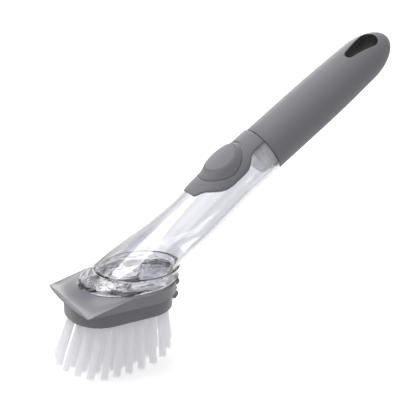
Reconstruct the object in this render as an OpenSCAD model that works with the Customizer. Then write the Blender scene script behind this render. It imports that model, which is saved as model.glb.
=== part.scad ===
// Soap-dispensing dish wand: a clear reservoir with a pump button, a screw-on grip
// and a snap-on brush head with a scraper lip. Millimetres, +Z up.
// Origin: centre of the scrub face, where the longest bristles end. +X runs towards the grip.

/* [Brush head] */
// Width of the head across the scraper lip
head_w = 60; // [58:1:66]
// Height of the head shell, from its rim to the face that carries the reservoir
shell_h = 7.2; // [6.8:0.1:8.4]
// Length of the tufted block
block_l = 71; // [69:0.5:72]
// Width of the tufted block
block_w = 47.6; // [44:0.2:50]
// Corner radius of the block, seen from above
block_r = 21.5; // [20:0.5:21.8]
// Height of the block below the rim of the shell
block_h = 12.5; // [10:0.5:15]
// Height of the block's collar inside the shell
collar_h = 2.2; // [1.6:0.1:2.6]
// How far the lip's lower edge bows forward of its sharp upper edge
lip_bow = 2.4; // [1.5:0.1:3]
// Thickness of the scraper lip at its upper edge
lip_t = 1.3; // [1:0.1:1.8]

/* [Bristles] */
// Longest bristle, from the block down to the scrub face
bristle_l = 34; // [28:1:36]
// How much shorter the bristles are at the rear end
rear_rise = 8.5; // [5:0.5:10]
// How much shorter the bristles are at the front end
front_rise = 2.5; // [0:0.5:4]
// Distance between neighbouring tufts
tuft_pitch = 7.1; // [6.9:0.1:9]
// Radius of the circle on which a tuft's outer strands stand
tuft_r = 1.5; // [1.4:0.1:1.7]
// Half the diagonal of one square strand
strand_r = 0.6; // [0.4:0.05:0.6]
// Spread of the strands along the head: tip spacing over root spacing
spread_x = 1.24; // [1.1:0.02:1.3]
// Spread of the strands across the head
spread_y = 1.33; // [1.1:0.02:1.4]
// How far all the tips lean forward
lean_forward = 5.2; // [2:0.2:7]

/* [Reservoir] */
// Radius of the clear tube
tube_r = 16.6; // [16.2:0.1:17.2]
// Wall of the clear tube
tube_wall = 2; // [1.8:0.1:2.2]
// Slope of the lower tube above the horizontal
tube_slope = 37.4; // [35:0.2:39]
// Slope of the grip above the horizontal
grip_slope = 33.3; // [32:0.2:35]
// Distance of the bend in front of the origin
bend_x = 87.7; // [86:0.5:90]
// Height of the bend above the rim of the head shell
bend_h = 65.3; // [63:0.5:67]
// Length of the straight neck above the bend
neck_l = 24.4; // [23.6:0.2:27]
// Length of the straight tube below the bend
straight_l = 42; // [39:1:46]
// Distance of the foot's centre behind the centre of the block
foot_x = 7; // [6:0.5:8]
// How much shorter than the block's half length the foot's half length is
foot_inset_x = 1.8; // [1.2:0.1:2.4]
// How much narrower than the head's half width the foot's half width is
foot_inset_y = 3; // [2.4:0.1:3.6]
// Height of the foot, up to the weld
foot_h = 7.8; // [7:0.2:9]
// Half length of the tube's lower end, at the weld
weld_a = 28.4; // [27.6:0.2:29]
// Half width of the tube's lower end, at the weld
weld_b = 24.4; // [23.6:0.2:25]
// Distance of the weld's centre behind the foot's centre
weld_shift = 6.3; // [5.5:0.1:7]

/* [Pump button] */
// Half length of the pad that the thumb presses
pad_a = 12.3; // [11.5:0.1:12.6]
// Half width of the pad
pad_b = 10.5; // [9.8:0.1:10.7]
// Height of the pad's edge above the tube's axis
pad_edge = 17.1; // [16.9:0.1:17.6]
// Height of the pad's crown above its edge
pad_crown = 1.5; // [1:0.1:2.2]
// How far below the bend the middle of the pad lies
pad_back = 2.8; // [2.6:0.1:3.2]
// How far below the bend the middle of the bulb lies
bulb_back = 4.4; // [4:0.1:4.6]
// Half length of the soft bulb where it stands on the tube
bulb_a = 17.2; // [17:0.1:17.8]
// Half width of the soft bulb where it stands on the tube
bulb_b = 13.7; // [13.5:0.1:14]
// Wall of the soft bulb
bulb_wall = 1.2; // [0.9:0.1:1.3]
// Travel of the button
press_travel = 4; // [3:0.5:4]
// Thickness of the grey surround
surround_t = 0.9; // [0.7:0.1:1.2]
// Half length of the surround's oval part
surround_a = 26; // [25:0.2:27]
// Half width of the surround beside the bulb
surround_b = 15.8; // [15.2:0.1:16]
// Half width of the surround's band below the grip
band_b = 12.1; // [11.5:0.1:12.6]
// Half width of the surround's tail
tail_b = 7.3; // [6.5:0.1:8.5]
// Length of the surround below the bend
tail_l = 34; // [32:0.5:36]

/* [Grip] */
// Length of the grip
grip_l = 117.6; // [112:0.2:124]
// Thickness of the soft sleeve over the hard core
sleeve_t = 2.4; // [1.8:0.1:2.8]
// Bore of the hollow core
core_bore_r = 10.6; // [9:0.2:10.8]
// Angle by which the hanging hole is turned from straight up
hole_turn = 22; // [0:1:40]
// Radius of the hanging hole's wide end
hole_big_r = 6.6; // [5:0.1:7]
// Radius of the hanging hole's narrow end
hole_small_r = 3.3; // [2.5:0.1:4]
// Distance between the hole's two end centres
hole_span = 17; // [12:0.1:18]
// Distance from the hole's wide centre to the tip of the grip
hole_to_tip = 15.8; // [14:0.2:20]

/* [Screw neck] */
// Radius of the threaded spigot
spigot_r = 12.4; // [12:0.1:12.6]
// Length of the threaded spigot inside the neck
spigot_l = 9; // [8.6:0.1:10]
// Rise of the thread in one turn
thread_lead = 4; // [3.6:0.1:4.2]
// Height of either thread ridge
ridge_h = 1.5; // [1.3:0.05:1.6]
// Thickness of the seal between grip and reservoir
neck_seal_t = 0.4; // [0.3:0.1:0.8]

/* [Release tab] */
// Half width of the release tab
tab_b = 6; // [5.6:0.1:8]
// Radius of the tab's pivot pin
tab_pin_r = 0.9; // [0.8:0.05:1]
// Depth of the pivot below the rim of the shell
tab_drop = 4; // [3.8:0.1:4.4]
// Radius of the tab's thumb pad
tab_pad_r = 2.4; // [2.2:0.1:2.8]

/* [Hidden] */
$fn = 64;

// Clearances and small walls
eps = 0.01;            // overlap that lets a cut run past a face
seat_gap = 0.15;       // between pieces of one assembly that are pressed or clipped in
free_gap = 0.3;        // between pieces that move past each other
run_gap = 0.05;        // round a pin or a spigot
big = 200;             // larger than any piece
ring_n = 48;           // corners of a modelled oval

// Heights of the head, from the scrub face up
block_z = bristle_l;
rim_z = block_z + block_h;
shell_top = rim_z + shell_h;
plate_t = 2;
plate_z = rim_z + collar_h + seat_gap;
pocket_z = plate_z + plate_t;
weld_z = shell_top + foot_h;
slice_t = 1.5;
collar_inset = 10;
block_edge = 1.6;
block_ease = 2;

// Plan of the head shell
lip_x = -block_l / 2;
rear_rim = 1.2;
shell_rear_r = head_w / 2 - foot_inset_y;
shell_rear = block_l / 2 + rear_rim;
shell_rear_x = shell_rear - shell_rear_r;
lip_corner_b = head_w / 2 - 0.7;
lip_arc_r = (pow(lip_corner_b, 2) + pow(lip_bow, 2)) / (2 * lip_bow);

// Oval plug of the foot in the shell, and the soap outlet
foot_a = block_l / 2 - foot_inset_x;
foot_b = head_w / 2 - foot_inset_y;
plug_inset = 6;
plug_drop = shell_top - pocket_z - 1;
outlet_x = foot_x - 2;
outlet_r = 4.6;
soap_r = 2.2;
valve_r = 7.6;
foot_wall = 2.2;
floor_t = 2;
valve_z = shell_top + floor_t + 0.5;

// Frames of the tube, the button and the grip, all at the bend
bend = [bend_x, 0, rim_z + bend_h];
pump_slope = (tube_slope + grip_slope) / 2;
bore_r = tube_r - tube_wall;
seam = neck_l + neck_seal_t;

// Oval opening in the tube under the button, and the ring that lines it
window_a = bulb_a - 1.5;
window_b = bulb_b - 1.2;
retainer_wall = 1;

// Tufts
tuft_strands = 8;
edge_inset = 4;
centre_half = 11;
anchor_l = 2.6;
anchor_t = 0.4;
anchor_h = 2;

// Thread
thread_turns = 1.4;
thread_steps = 24;
ridge_w = 1.1;

clear = [0.93, 0.94, 0.95, 0.35];
grip_grey = [0.42, 0.43, 0.45];
block_grey = [0.34, 0.35, 0.36];
nylon = [0.93, 0.93, 0.94];
silicone = [0.85, 0.86, 0.87, 0.6];

// Puts children in the frame that leaves the bend at this slope: its Z runs along the wand
// towards the grip, its X points down and back and its Y is the model's.
module along(slope) {
    translate(bend) rotate([0, 90 - slope, 0]) children();
}

// Puts children in the button's frame: X along the wand, Y across it, Z out of the button.
module on_pump() {
    translate(bend) rotate([0, -pump_slope, 0]) children();
}

// Outline with four round corners.
module rounded_plan(l, w, r) {
    square([l - 2 * r, w], center = true);
    square([l, w - 2 * r], center = true);
    for (sx = [-1, 1], sy = [-1, 1])
        translate([sx * (l / 2 - r), sy * (w / 2 - r)]) circle(r);
}

module oval(a, b) {
    polygon([for (i = [0:ring_n - 1]) let (t = i * 360 / ring_n) [a * cos(t), b * sin(t)]]);
}

module bulb_oval(a, b) {
    translate([-bulb_back, 0]) oval(a, b);
}

// One level ring of an oval, as points in space.
function oval_ring(x, z, a, b) =
    [for (i = [0:ring_n - 1]) let (t = i * 360 / ring_n) [x + a * cos(t), b * sin(t), z]];

function mean(ring) = [for (k = [0:2]) [for (p = ring) p[k]] * [for (p = ring) 1] / len(ring)];

// Closed solid through a list of rings, with a centre point at each end.
module loft(rings) {
    n = len(rings[0]);
    m = len(rings);
    points = concat([for (r = rings) each r], [mean(rings[0]), mean(rings[m - 1])]);
    sides = [for (j = [0:m - 2], i = [0:n - 1])
        let (k = (i + 1) % n, a = j * n + i, b = j * n + k, c = a + n, d = b + n)
        each [[a, c, b], [b, c, d]]];
    first = [for (i = [0:n - 1]) [m * n, i, (i + 1) % n]];
    last = [for (i = [0:n - 1]) [m * n + 1, (m - 1) * n + (i + 1) % n, (m - 1) * n + i]];
    polyhedron(points, concat(first, sides, last));
}

// Closed wall between an outer and an inner list of rings, open at both ends.
module loft_wall(outer, inner) {
    n = len(outer[0]);
    m = len(outer);
    loop = concat(outer, [for (j = [m - 1:-1:0]) inner[j]]);
    all = len(loop);
    faces = [for (j = [0:all - 1], i = [0:n - 1])
        let (k = (i + 1) % n, h = (j + 1) % all, a = j * n + i, b = j * n + k, c = h * n + i, d = h * n + k)
        each [[a, c, b], [b, c, d]]];
    polyhedron([for (r = loop) each r], faces);
}

// Curves of the flare, in the plane of symmetry
function bezier(p, t) = pow(1 - t, 3) * p[0] + 3 * t * pow(1 - t, 2) * p[1]
    + 3 * t * t * (1 - t) * p[2] + pow(t, 3) * p[3];
function wand_point(slope, s, n) = [bend_x + s * cos(slope) - n * sin(slope),
    bend[2] + s * sin(slope) + n * cos(slope)];
function down_tube(s, n) = wand_point(tube_slope, -s, n);
function smooth(t) = t * t * (3 - 2 * t);

flare_steps = 9;
weld_front = [foot_x + weld_shift - weld_a, weld_z];
weld_back = [foot_x + weld_shift + weld_a, weld_z];
flare_back = [down_tube(straight_l, -tube_r), down_tube(straight_l + 12, -tube_r),
    weld_back + [1.5, 7], weld_back];
flare_front = [down_tube(straight_l, tube_r), down_tube(straight_l + 18, tube_r),
    weld_front + [12, 8], weld_front];

// One slanted ring of the flare, drawn in by the wall for the inside.
function flare_ring(t, wall) =
    let (front = bezier(flare_front, t), back = bezier(flare_back, t),
        mid = (front + back) / 2, half = (back - front) / 2,
        a = norm(half) - wall, u = half / norm(half),
        b = tube_r + (weld_b - tube_r) * smooth(t) - wall)
    [for (i = [0:ring_n - 1]) let (w = i * 360 / ring_n)
        [mid[0] + u[0] * a * cos(w), b * sin(w), mid[1] + u[1] * a * cos(w)]];

// One square ring of the straight tube, at distance s from the bend.
function tube_ring(slope, s, r) = [for (i = [0:ring_n - 1])
    let (w = i * 360 / ring_n, q = wand_point(slope, s, -r * cos(w))) [q[0], r * sin(w), q[1]]];

// All rings of the clear tube, from the weld up the flare and past the bend to the mouth.
function tube_rings(wall) = concat(
    [for (j = [flare_steps:-1:0]) flare_ring(j / flare_steps, wall)],
    [tube_ring(pump_slope, 0, tube_r - wall), tube_ring(grip_slope, neck_l, tube_r - wall)]);

// Wall between two radii round the bent tube, from below the bend to above it.
module bent_shell(outer_r, inner_r, below, above) {
    outer = [for (p = [[tube_slope, -below], [pump_slope, 0], [grip_slope, above]])
        tube_ring(p[0], p[1], outer_r)];
    inner = [for (p = [[tube_slope, -below], [pump_slope, 0], [grip_slope, above]])
        tube_ring(p[0], p[1], inner_r)];
    loft_wall(outer, inner);
}

// Thread ridge on a cylinder of radius r, outwards for side 1 and inwards for side -1.
module thread_ridge(r, side) {
    steps = thread_turns * thread_steps;
    profile = [[-0.3, -ridge_w], [ridge_h, -ridge_w / 3], [ridge_h, ridge_w / 3], [-0.3, ridge_w]];
    rings = [for (i = [0:steps])
        let (t = i * 360 / thread_steps, z = i * thread_lead / thread_steps,
            fade = min(1, min(i, steps - i) / 4))
        [for (p = profile) let (q = r + side * (p[0] < 0 ? p[0] : p[0] * fade))
            [q * cos(t), q * sin(t), z + p[1] / 2]]];
    if (side < 0) loft(rings);
    else loft([for (ring = rings) [for (k = [3:-1:0]) ring[k]]]);
}

core_end_t = 8;

// Profile of the grip: nearly straight, then drawn in, then a rounded tip
dome_l = 29.3;
taper_l = 43;
taper_r = 1.2;
function grip_radius(s) =
    let (dome = grip_l - dome_l, taper = dome - taper_l)
    s > dome ? (tube_r - taper_r) * sqrt(max(0, 1 - pow((s - dome) / dome_l, 2)))
    : s > taper ? tube_r - taper_r * pow((s - taper) / taper_l, 1.6)
    : tube_r;

// Turned body of the grip, smaller by inset all over, and closed at the tip.
module grip_body(inset, start = 0) {
    last = grip_l - inset;
    stops = concat([0], [for (k = [0:4]) grip_l - dome_l - taper_l * (1 - k / 5)],
        [for (t = [0:10:80]) grip_l - dome_l + (last - grip_l + dome_l) * sin(t)]);
    scale_end = (last - grip_l + dome_l) / dome_l;
    function r_at(s) = s > grip_l - dome_l
        ? (tube_r - taper_r - inset) * sqrt(max(0, 1 - pow((s - grip_l + dome_l) / (dome_l * scale_end), 2)))
        : grip_radius(s) - inset;
    rotate_extrude() polygon(concat([[0, start]], [for (s = stops) [r_at(s), s == 0 ? start : s]], [[0, last]]));
}

// Teardrop prism of the hanging hole, larger by grow all round.
module hanging_hole(grow) {
    wide = grip_l - hole_to_tip;
    narrow = wide - hole_span;
    rotate([0, 0, hole_turn]) rotate([0, -90, 0]) translate([0, 0, -big / 2])
        linear_extrude(big) hull() {
            translate([wide, 0]) circle(hole_big_r + grow);
            translate([narrow, 0]) circle(hole_small_r + grow);
        }
}

module handle_grip() {
    color(grip_grey) along(grip_slope) translate([0, 0, seam]) difference() {
        grip_body(0);
        core_body(-1);
        hanging_hole(0);
    }
}

// Outside of the core, which the sleeve is moulded over: open round the hanging hole.
module core_body(start) {
    difference() {
        grip_body(sleeve_t, start);
        hanging_hole(sleeve_t / 2);
    }
}

module handle_core() {
    bore_end = grip_l - hole_to_tip - hole_span - hole_small_r - core_end_t;
    color(block_grey) along(grip_slope) translate([0, 0, seam]) difference() {
        union() {
            core_body(0);
            translate([0, 0, -spigot_l]) cylinder(r = spigot_r, h = spigot_l + 1);
            translate([0, 0, -spigot_l + ridge_w]) thread_ridge(spigot_r, 1);
        }
        translate([0, 0, -spigot_l - 1]) cylinder(r = core_bore_r, h = bore_end + spigot_l + 1);
    }
}

module stopper_plug() {
    color(silicone) along(grip_slope) translate([0, 0, seam - spigot_l]) rotate_extrude()
        polygon([[0, -1.6], [spigot_r - 0.6, -1.6], [spigot_r - 0.1, -1.1], [spigot_r - 0.1, 0],
            [core_bore_r - seat_gap, 0], [core_bore_r - seat_gap, 3.6], [core_bore_r - 1.4, 4.2],
            [core_bore_r - 1.6, 0], [0, 0]]);
}

module neck_seal() {
    color([0.12, 0.12, 0.13]) along(grip_slope) translate([0, 0, neck_l]) difference() {
        translate([0, 0, eps]) cylinder(r = tube_r - 0.5, h = neck_seal_t - 2 * eps);
        translate([0, 0, -eps]) cylinder(r = spigot_r + 0.2, h = neck_seal_t + 2 * eps);
    }
}

module reservoir_tube() {
    color(clear) {
        difference() {
            loft_wall(tube_rings(0), tube_rings(tube_wall));
            on_pump() linear_extrude(big) bulb_oval(window_a, window_b);
        }
        along(grip_slope) translate([0, 0, seam - spigot_l + ridge_w])
            rotate([0, 0, 180]) thread_ridge(bore_r, -1);
    }
}

// Outside of the foot, from where it stands on the head up to the weld, drawn in by wall.
function foot_rings(wall) = [
    oval_ring(foot_x, shell_top, foot_a - wall, foot_b - wall),
    oval_ring(foot_x, shell_top + foot_h * 0.3, foot_a - 0.5 - wall, foot_b - 0.4 - wall),
    oval_ring(foot_x + weld_shift * 0.4, shell_top + foot_h * 0.62, foot_a - 2.6 - wall, foot_b - 1.2 - wall),
    oval_ring(foot_x + weld_shift, weld_z, weld_a + 0.5 - wall, weld_b + 0.5 - wall)];

module base_foot() {
    color(clear) difference() {
        union() {
            loft_wall(foot_rings(0), foot_rings(foot_wall));
            translate([foot_x, 0, shell_top]) linear_extrude(floor_t)
                oval(foot_a - foot_wall / 2, foot_b - foot_wall / 2);
            translate([foot_x, 0, shell_top - plug_drop]) linear_extrude(plug_drop + 1)
                oval(foot_a - plug_inset, foot_b - plug_inset);
            translate([outlet_x, 0, plate_z + free_gap]) cylinder(r = outlet_r, h = valve_z - plate_z - free_gap);
            translate([outlet_x, 0, shell_top]) cylinder(r = valve_r + 2, h = valve_z - shell_top);
            translate([shell_rear + 1, -tab_b + 1, shell_top - 1]) cube([2.2, 2 * tab_b - 2, 2]);
        }
        translate([outlet_x, 0, plate_z - 1]) cylinder(r = soap_r + 0.8, h = big);
    }
}

// Plan of the surround in the button's frame: a wide oval, a band to the grip and a tail.
module surround_plan() {
    fillet = 8;
    middle = -6;
    offset(r = -fillet) offset(delta = fillet) {
        translate([middle, 0]) oval(surround_a, surround_b);
        translate([middle, -band_b]) square([neck_l * 2, 2 * band_b]);
        translate([-tail_l, -tail_b]) square([tail_l, 2 * tail_b]);
    }
}

module button_surround() {
    color(grip_grey) intersection() {
        bent_shell(tube_r + surround_t, tube_r + run_gap, tail_l + 20, neck_l - 0.1);
        on_pump() linear_extrude(big) difference() {
            surround_plan();
            bulb_oval(bulb_a + free_gap, bulb_b + free_gap);
        }
    }
}

pad_rim_z = pad_edge - 1.9;

// Oval ring at one height in the button's frame, round the middle of the pad.
function pad_ring(k, z, grow = 0) = oval_ring(-pad_back, z, pad_a * k + grow, pad_b * k + grow);

module button_pad() {
    color(grip_grey) on_pump() loft([
        pad_ring(0.98, pad_rim_z + run_gap), pad_ring(1, pad_rim_z + 0.4), pad_ring(1, pad_edge - 0.3),
        pad_ring(0.98, pad_edge), pad_ring(0.8, pad_edge + pad_crown * 0.5),
        pad_ring(0.5, pad_edge + pad_crown * 0.85), pad_ring(0.2, pad_edge + pad_crown)]);
}

// Ring of the bulb that stands on the bent tube, whose top drops away on both sides of the bend.
function bulb_seat(a, b, lift) = [for (i = [0:ring_n - 1])
    let (t = i * 360 / ring_n, x = a * cos(t) - bulb_back, y = b * sin(t),
        drop = abs(x) * tan((tube_slope - grip_slope) / 2))
    [x, y, sqrt(pow(tube_r + lift, 2) - y * y) - drop]];

// Soft bulb: a foot on the tube, a cone up to the pad's edge and a seat under the pad.
module pump_bulb() {
    outside = [bulb_seat(bulb_a, bulb_b, 0.1), bulb_seat(bulb_a, bulb_b, 0.6),
        pad_ring(1, pad_edge - 0.35, 0.7), pad_ring(1, pad_edge - 0.2, 0.35), pad_ring(1, pad_rim_z, 0.3)];
    inside = [pad_ring(1, pad_rim_z - bulb_wall, -1), bulb_seat(window_a - retainer_wall - 0.2,
        window_b - retainer_wall - 0.1, 0.15), bulb_seat(bulb_a - 1.4, bulb_b - 1.2, 0.1)];
    color(grip_grey) on_pump() loft(concat(inside, outside));
}

module bulb_retainer() {
    color(silicone) intersection() {
        bent_shell(tube_r, bore_r - 0.8, 30, neck_l - 2);
        on_pump() linear_extrude(big) difference() {
            bulb_oval(window_a - run_gap, window_b - run_gap);
            bulb_oval(window_a - retainer_wall, window_b - retainer_wall);
        }
    }
}

module outlet_valve() {
    color(silicone) translate([outlet_x, 0, valve_z]) difference() {
        rotate_extrude() polygon([[0, -2.4], [0.9, -2.4], [2.4, 0], [valve_r, 0], [valve_r, 0.8],
            [6.2, 0.8], [5.9, 1.2], [5.2, 1.2], [4.9, 0.8], [4.1, 0.8], [3.8, 1.2], [3.2, 1.2],
            [2.9, 0.7], [1.4, -0.6], [0, -1]]);
        translate([-1.2, -0.1, -3]) cube([2.4, 0.2, 4]);
    }
}

module valve_retainer() {
    color(clear) translate([outlet_x, 0, valve_z]) rotate_extrude() polygon([
        [valve_r + 0.1, 0], [valve_r + 1.8, 0], [valve_r + 1.8, 1.6], [valve_r + 1.4, 2],
        [valve_r - 0.7, 2], [valve_r - 0.9, 1.8], [valve_r - 0.9, 0.9], [valve_r + 0.1, 0.9]]);
}

module outlet_seal() {
    color([0.12, 0.12, 0.13]) translate([outlet_x, 0, pocket_z + 0.05]) difference() {
        cylinder(r = outlet_r + 3, h = shell_top - plug_drop - pocket_z - 0.1);
        translate([0, 0, -1]) cylinder(r = outlet_r + run_gap, h = 4);
    }
}

// Plan of the head shell: sharp lip corners in front, a bowed lower lip, a round rear.
module shell_plan() {
    polygon([[lip_x, -lip_corner_b], [shell_rear_x, -head_w / 2], [shell_rear_x, head_w / 2],
        [lip_x, lip_corner_b]]);
    for (s = [-1, 1])
        translate([shell_rear_x, s * (head_w / 2 - shell_rear_r)]) circle(shell_rear_r);
    translate([shell_rear_x, 0]) square([2 * shell_rear_r, head_w - 2 * shell_rear_r], center = true);
    intersection() {
        translate([lip_x - lip_bow + lip_arc_r, 0]) circle(lip_arc_r, $fn = 180);
        translate([lip_x - lip_bow, -lip_corner_b]) square([lip_bow + 1, 2 * lip_corner_b]);
    }
}

// Concave ramp from the lip up to the foot: an arc that starts and ends at these slopes
ramp_start = 15;
ramp_end = 52;
ramp_run = foot_x - foot_a - lip_x;
ramp_rise = shell_h - lip_t;
ramp_r = norm([ramp_run, ramp_rise]) / (2 * sin((ramp_end - ramp_start) / 2));
corner_rise = 0.4;

module head_shell() {
    ramp_chord = atan2(ramp_rise, ramp_run);
    ramp_lift = ramp_r * cos((ramp_end - ramp_start) / 2);
    color(grip_grey) difference() {
        union() {
            translate([0, 0, rim_z]) linear_extrude(shell_h) shell_plan();
            tab_lug();
        }
        // ramp behind the lip
        translate([lip_x + ramp_run / 2 - ramp_lift * sin(ramp_chord), 0,
            rim_z + lip_t + ramp_rise / 2 + ramp_lift * cos(ramp_chord)])
            rotate([90, 0, 0]) cylinder(r = ramp_r, h = big, center = true);
        translate([lip_x - 20, -big / 2, rim_z + lip_t]) cube([20, big, 20]);
        // bevelled front of the lip
        translate([lip_x, 0, rim_z + lip_t]) rotate([0, -atan2(lip_t, lip_bow), 0])
            translate([-20, -big / 2, 0]) cube([20, big, 20]);
        // slanted faces behind the two sharp corners
        for (s = [-1, 1])
            translate([lip_x, s * lip_corner_b, rim_z + corner_rise])
                rotate([-s * 25, -12.7, 0]) translate([-big / 2, -big / 2, 0]) cube([big, big, 30]);
        // seat of the block, pocket of the foot, way of the soap
        translate([0, 0, rim_z - 1]) linear_extrude(collar_h + seat_gap + 1)
            rounded_plan(block_l - collar_inset + 2 * seat_gap, block_w - collar_inset + 2 * seat_gap,
                block_r - collar_inset / 2 + seat_gap);
        translate([foot_x, 0, pocket_z]) linear_extrude(10)
            oval(foot_a - plug_inset + free_gap, foot_b - plug_inset + free_gap);
        translate([outlet_x, 0, rim_z]) cylinder(r = outlet_r + 0.1, h = 20);
    }
}

// Release tab: pivot behind the rear rim, between the block and the back
tab_x = shell_rear + 1.2;
tab_z = rim_z - tab_drop;
lug_r = 1.6;
lug_b = 1.9;

module tab_lug() {
    translate([tab_x, 0, tab_z]) rotate([90, 0, 0]) {
        cylinder(r = lug_r, h = 2 * lug_b, center = true);
        cylinder(r = tab_pin_r, h = 2 * tab_b - 2.2, center = true);
    }
    translate([shell_rear - 2, -lug_b, rim_z]) cube([2 + 1.2 + lug_r * 0.6, 2 * lug_b, 2.4]);
    translate([tab_x - lug_r * 0.6, -lug_b, tab_z]) cube([lug_r * 1.2, 2 * lug_b, tab_drop + 0.5]);
}

module release_tab() {
    back_x = shell_rear + 0.4;
    plate_t = 2.3;
    plate_low = tab_z - 7.6;
    plate_top = rim_z + 5.6;
    grip_low = tab_z - 4.4;
    grip_top = rim_z + 0.4;
    color(grip_grey) difference() {
        translate([0, tab_b, 0]) rotate([90, 0, 0]) linear_extrude(2 * tab_b) difference() {
            union() {
                translate([back_x, plate_low]) square([plate_t, plate_top - plate_low]);
                translate([back_x + plate_t, grip_top]) circle(tab_pad_r);
                translate([tab_x, tab_z]) circle(tab_pin_r + 1.1);
                translate([tab_x + 0.4, grip_low]) circle(tab_pad_r + 0.2);
            }
            translate([back_x - big, -big]) square([big, 3 * big]);
        }
        translate([tab_x, 0, tab_z]) rotate([90, 0, 0]) {
            cylinder(r = tab_pin_r + run_gap, h = 2 * tab_b - 2, center = true);
            cylinder(r = lug_r + 0.4, h = 2 * lug_b + 0.6, center = true);
        }
        translate([shell_rear - 1, -lug_b - 0.3, tab_z]) cube([4.6, 2 * lug_b + 0.6, tab_drop + 3]);
    }
}

module brush_block() {
    color(block_grey) difference() {
        union() {
            translate([0, 0, block_z]) hull() {
                translate([0, 0, block_ease]) linear_extrude(block_h - block_ease)
                    rounded_plan(block_l, block_w, block_r, $fn = 64);
                linear_extrude(1) rounded_plan(block_l - 2 * block_ease, block_w - 2 * block_ease,
                    block_r - block_ease, $fn = 64);
            }
            translate([0, 0, rim_z - 1]) linear_extrude(collar_h + 1)
                rounded_plan(block_l - collar_inset, block_w - collar_inset, block_r - collar_inset / 2);
        }
        translate([0, 0, block_z - 1]) linear_extrude(slice_t + 1) slice_plan(seat_gap);
        translate([outlet_x, 0, block_z]) cylinder(r = soap_r, h = big);
        translate([outlet_x, 0, rim_z]) cylinder(r1 = soap_r, r2 = outlet_r - 0.5, h = collar_h + eps);
        for (p = tufts) anchor(p, seat_gap / 3);
    }
}

// Plate that the tufts are set in, which fills the recess in the block.
module slice_plan(grow) {
    inset = 2 * (block_edge + block_ease / 2 - grow);
    rounded_plan(block_l - inset, block_w - inset, block_r - inset / 2);
}

// Tufts stand on three ovals, one inside the other. A point at distance d along an oval with
// straight sides, of half length a and half width b:
function round_trip(a, b) = 4 * (a - b) + 2 * PI * b;
function oval_track(a, b, d) =
    let (side = 2 * (a - b), turn = PI * b)
    d < side ? [d - side / 2, -b]
    : d < side + turn ? let (t = (d - side) / b * 180 / PI - 90) [a - b + b * cos(t), b * sin(t)]
    : d < 2 * side + turn ? [side / 2 - (d - side - turn), b]
    : let (t = (d - 2 * side - turn) / b * 180 / PI + 90) [b - a + b * cos(t), b * sin(t)];

tufts = [for (k = [0:2])
    let (inset = edge_inset + k * (tuft_pitch + 0.4), a = block_l / 2 - inset, b = block_w / 2 - inset,
        n = floor(round_trip(a, b) / tuft_pitch))
    each [for (i = [0:n - 1]) oval_track(a, b, (i + 0.5) * round_trip(a, b) / n)]];

// Where each strand of a tuft leaves the plate: one in the middle, the others round it.
function tuft_roots(p) = [for (i = [0:tuft_strands - 1]) i == 0 ? p
    : p + tuft_r * [cos((i - 1) * 360 / (tuft_strands - 1)), sin((i - 1) * 360 / (tuft_strands - 1))]];

// Height of the tips above the scrub face: the brush is trimmed to a shallow curve.
function tip_rise(x) = rear_rise * pow(max(0, (x + 6) / (block_l / 2 - edge_inset + 6)), 2)
    + front_rise * pow(max(0, (-x - 16) / (block_l / 2 - edge_inset - 16)), 2);

// One strand. Every strand leans by a share of its own distance from the middle, so that
// neighbours spread apart and never cross.
module strand(p) {
    way = [(spread_x - 1) * p[0] - lean_forward, (spread_y - 1) * p[1], -bristle_l];
    reach = norm(way) * (1 - tip_rise(p[0]) / bristle_l);
    translate([p[0], p[1], block_z])
        rotate([0, acos(way[2] / norm(way)), atan2(way[1], way[0])])
            translate([0, 0, -0.8]) cylinder(r = strand_r, h = reach + 0.8 + 0.5, $fn = 4);
}

// Room that whole tufts take on the plate, so that no cut runs through a tuft.
module tuft_feet(list) {
    for (p = list) translate(p) circle(tuft_r + strand_r + 0.3, $fn = 12);
}

// One third of the brush: its slice of the plate and the tufts that stand on it.
module bristles(from, to) {
    color(nylon) difference() {
        union() {
            translate([0, 0, block_z]) linear_extrude(slice_t) intersection() {
                slice_plan(0);
                difference() {
                    union() {
                        translate([from, -big / 2]) square([to - from, big]);
                        tuft_feet([for (p = tufts) if (p[0] > from && p[0] < to) p]);
                    }
                    tuft_feet([for (p = tufts) if (p[0] < from || p[0] > to) p]);
                }
            }
            for (p = tufts) if (p[0] > from && p[0] < to) for (q = tuft_roots(p)) strand(q);
        }
        translate([-big / 2, -big / 2, -10]) cube([big, big, 10]);
        translate([outlet_x, 0, block_z - 1]) cylinder(r = soap_r, h = 10);
    }
}

// Wire staple that holds one folded tuft, in its slot above the plate.
module anchor(p, grow) {
    translate([p[0] - anchor_l / 2 - grow, p[1] - anchor_t / 2 - grow, block_z + slice_t - eps])
        cube([anchor_l + 2 * grow, anchor_t + 2 * grow, anchor_h + grow + eps]);
}

module tuft_anchors() {
    color([0.78, 0.7, 0.45]) translate([0, 0, 2 * eps]) for (p = tufts) anchor(p, 0);
}

module bristles_front() bristles(-big, -centre_half);
module bristles_centre() bristles(-centre_half, centre_half);
module bristles_rear() bristles(centre_half, big);

handle_grip();
handle_core();
stopper_plug();
neck_seal();
reservoir_tube();
base_foot();
button_surround();
button_pad();
pump_bulb();
bulb_retainer();
outlet_valve();
valve_retainer();
outlet_seal();
head_shell();
release_tab();
brush_block();
tuft_anchors();
bristles_front();
bristles_centre();
bristles_rear();
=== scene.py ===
# %% [markdown]
# This lesson dresses a soap-dispensing dish wand: a clear reservoir with a pump button, a soft
# screw-on grip and a brush head with a scraper lip. The bodies and their joints come from a packed
# CAD model, and stay exactly where they are. Each piece that is seen gets a finer mesh or a finer
# finish here, in the same frame, in metres: +X runs towards the grip and +Z up from the bristle tips.

# %% Load the frame
import math
import random

import bmesh
import bpy
from mathutils import Matrix, Vector


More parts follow.
